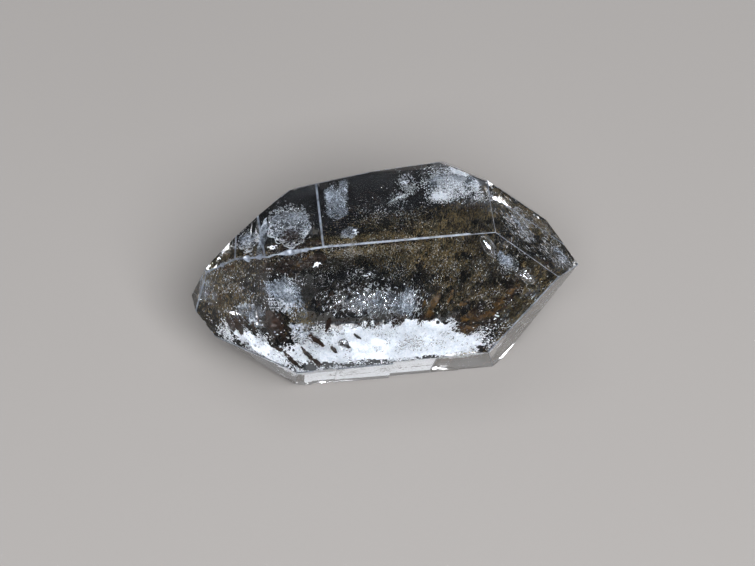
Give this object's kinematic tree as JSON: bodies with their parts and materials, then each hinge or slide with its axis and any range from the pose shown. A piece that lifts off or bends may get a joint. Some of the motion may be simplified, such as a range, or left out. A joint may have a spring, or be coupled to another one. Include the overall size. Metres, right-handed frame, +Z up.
{
  "type": "petroleum quartz crystal",
  "caption": "Loose, doubly terminated clear quartz crystal with a pointed end each way, worn edges and growth steps, lying on a prism face, with petroleum and bubbles sealed inside.",
  "frame": {"origin": "centre of the bounding box's bottom, on the prism face that the crystal rests on", "axes": "+X along the crystal's long (c) axis to its broader, chisel-shaped tip, +Z up, -Y towards the large front prism face that the picture shows"},
  "size_m": [0.0216, 0.012, 0.0108],
  "materials": {
    "clear_quartz": "natural crystal faces, clear and faintly smoky, bright with worn edges",
    "petroleum": "thick, near-black brown petroleum sealed in the quartz, glossy as resin, amber where thin"
  },
  "bodies": {
    "root": {"quartz_front": "clear_quartz", "quartz_back": "clear_quartz", "petroleum_right": "petroleum", "petroleum_tip": "petroleum", "petroleum_tongue": "petroleum", "petroleum_flake": "petroleum", "petroleum_left": "petroleum", "petroleum_top_left": "petroleum"}
  },
  "joints": []
}
